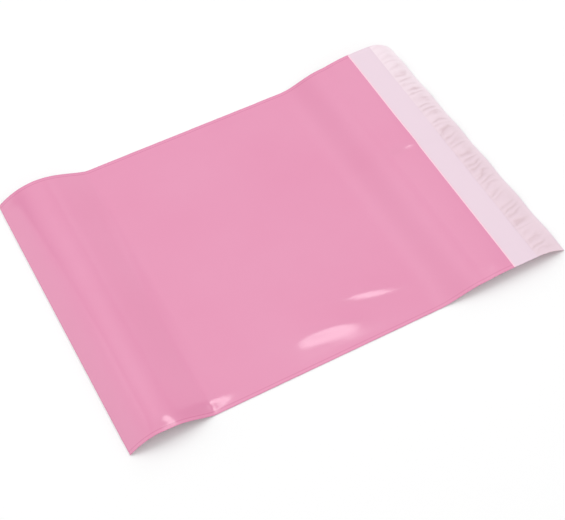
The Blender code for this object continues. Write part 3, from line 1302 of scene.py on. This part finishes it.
# %% What looks at a surface


def seen_by_eye(tree):
    """1 for rays that look, and 0 for rays that gather light."""
    ray = add_node(tree, "ShaderNodeLightPath").node.outputs
    looks = (ray["Is Camera Ray"], ray["Is Glossy Ray"])
    straight = add_node(tree, "ShaderNodeMath", looks, operation="ADD")
    return add_node(
        tree, "ShaderNodeMath", (straight, ray["Is Transmission Ray"]), operation="ADD",
        use_clamp=True,
    )


print("Floor and world both ask", seen_by_eye.__name__)

# %% [markdown]
# The paper's own white is that of real photo paper, a little below full white. It lies a tenth of
# a millimetre below the bag's own ground plane, so that the two surfaces never share a plane.

# %% Floor
FLOOR_SIZE = 8
FLOOR_DROP = 0.1 * MM
PAPER_WHITE = 0.8
PAPER_GLOW = 0.19
SHADOW_REACH = 0.35
WHITE_FROM = 1.0

bpy.ops.mesh.primitive_plane_add(size=FLOOR_SIZE, location=(0, 0, -FLOOR_DROP))
floor = bpy.context.object
floor.name = "floor"
paper = bpy.data.materials.new("white_paper")
paper.use_nodes = True
tree = paper.node_tree
tree.nodes.clear()
seen = seen_by_eye(tree)
glow = add_node(tree, "ShaderNodeMath", (seen, PAPER_GLOW), operation="MULTIPLY")
matt = add_node(tree, "ShaderNodeBsdfDiffuse", {"Color": (PAPER_WHITE, PAPER_WHITE, PAPER_WHITE, 1)})
light = add_node(tree, "ShaderNodeEmission", {"Strength": glow})
lit_paper = add_node(tree, "ShaderNodeAddShader", (matt, light))
place = add_node(tree, "ShaderNodeTexCoord", out="Object")
distance = add_node(tree, "ShaderNodeVectorMath", (place,), out="Value", operation="LENGTH")
far_off = add_node(
    tree, "ShaderNodeMapRange", (distance, SHADOW_REACH, WHITE_FROM),
    interpolation_type="SMOOTHSTEP",
)
white_out = add_node(tree, "ShaderNodeMath", (far_off, seen), operation="MULTIPLY")
plain_white = add_node(tree, "ShaderNodeEmission", {"Strength": 1.0})
surface = add_node(tree, "ShaderNodeMixShader", (white_out, lit_paper, plain_white))
add_node(tree, "ShaderNodeOutputMaterial", {"Surface": surface})
floor.data.materials.append(paper)
print("The floor is", FLOOR_SIZE, "m wide")

# %% [markdown]
# The world is the walls of the studio. They look white, and the glossy film mirrors them as white,
# but they light the bag only half as much as they look, so that the lamps can shape it.

# %% World
AMBIENT = 0.485

world = bpy.data.worlds.new("studio")
bpy.context.scene.world = world
world.use_nodes = True
tree = world.node_tree
tree.nodes.clear()
strength = add_node(tree, "ShaderNodeMapRange", (seen_by_eye(tree), 0, 1, AMBIENT, 1))
sky = add_node(tree, "ShaderNodeBackground", {"Color": (1, 1, 1, 1), "Strength": strength})
add_node(tree, "ShaderNodeOutputWorld", {"Surface": sky})
print("The walls give", AMBIENT, "of full light")

# %% [markdown]
# ### Lamps
#
# On a glossy film a lamp does two things: it lights the pigment, and it shows itself as a gleam.
# So a lamp is given by what a mirror would show of it, its radiance, on a scale where white paper
# is 1. Its power follows from its radiance, its area and its spread, because a narrow beam makes
# the same power look brighter. A lamp is placed by the direction that it shines from, seen from
# the middle of the bag.

# %% A lamp panel
POWER_PER_RADIANCE = 4  # what an area lamp takes in watts per square metre, with a full spread


def lamp_panel(name, direction, distance, width, height, radiance, spread):
    """A lamp that faces the bag. Directions are on the bag's axes, and lengths in metres."""
    lamp = bpy.data.lights.new(name, "AREA")
    lamp.shape = "RECTANGLE"
    lamp.size = width
    lamp.size_y = height
    lamp.spread = math.radians(spread)
    widest = math.tan(lamp.spread / 2)
    gain = widest / (widest - lamp.spread / 2)
    lamp.energy = POWER_PER_RADIANCE * radiance * width * height / gain
    holder = new_object(name, lamp)
    away = Vector(direction).normalized()
    holder.rotation_mode = "QUATERNION"
    holder.rotation_quaternion = away.to_track_quat("Z", "Y")
    holder.location = away * distance
    print(name, "has", round(lamp.energy, 1), "W")


print("Lamps are made by", lamp_panel.__name__)

# %% [markdown]
# Five lamps do it. A large scrim above and behind the bag is what its flat film mirrors, as an
# even sheen. A second one at the folded end brightens the slope of the arch there. A small strong
# softbox, far away, gives the leaf-shaped gleams on the ridges: it is small, so only slopes that
# face it show it. The last two stand beyond the mouth, a softbox high up and a weak scrim low
# down. They light the slopes that turn away from the first three, so that these darken softly.

# %% Lamps
lamp_panel(
    "overhead_scrim", direction=(0.091, 0.41, 0.91), distance=2.2, width=3.3, height=3.3,
    radiance=1.25, spread=74,
)
lamp_panel(
    "scrim_at_the_fold", direction=(-0.85, 0.35, 0.55), distance=2.2, width=1.8, height=2.4,
    radiance=1.2, spread=110,
)
lamp_panel(
    "small_softbox", direction=(0.288, 0.2, 0.936), distance=4.0, width=0.72, height=0.72,
    radiance=4.4, spread=170,
)
lamp_panel(
    "mouth_side_softbox", direction=(0.75, -0.15, 0.65), distance=4.0, width=2.2, height=2.2,
    radiance=1.85, spread=170,
)
lamp_panel(
    "low_scrim", direction=(0.62, 0.62, 0.48), distance=4.0, width=2.0, height=2.0,
    radiance=0.5, spread=170,
)

# %% [markdown]
# ### Camera
#
# The camera stands about 1.1 m away, above the near side and towards the folded end. Its direction
# comes from the bag's own four corners: seen from here, the near side runs up to the right and the
# flap leans away. It is turned by half a degree about its own axis, as a hand-held one would be.

# %% Camera
CAMERA_AZIMUTH = math.radians(-28.084)
CAMERA_ELEVATION = math.radians(54.076)
CAMERA_ROLL = math.radians(-0.496)
CAMERA_DISTANCE = 1104.7 * MM
CAMERA_LENS = 81.85
CAMERA_TARGET = Vector((198.76 * MM, 107.8 * MM, 0)) - MIDDLE

back = Vector((
    math.sin(CAMERA_AZIMUTH) * math.cos(CAMERA_ELEVATION),
    -math.cos(CAMERA_AZIMUTH) * math.cos(CAMERA_ELEVATION),
    math.sin(CAMERA_ELEVATION),
))
level = Vector((math.cos(CAMERA_AZIMUTH), math.sin(CAMERA_AZIMUTH), 0))
rise = back.cross(level)
right = level * math.cos(CAMERA_ROLL) + rise * math.sin(CAMERA_ROLL)
up = rise * math.cos(CAMERA_ROLL) - level * math.sin(CAMERA_ROLL)
camera_data = bpy.data.cameras.new("camera")
camera_data.lens = CAMERA_LENS
camera = new_object("camera", camera_data)
turn = Matrix((right, up, back)).transposed().to_4x4()
camera.matrix_world = Matrix.Translation(CAMERA_TARGET + back * CAMERA_DISTANCE) @ turn
bpy.context.scene.camera = camera
bpy.context.scene.view_settings.view_transform = "Standard"
print("The camera is", round(camera.location.z, 2), "m above the table")
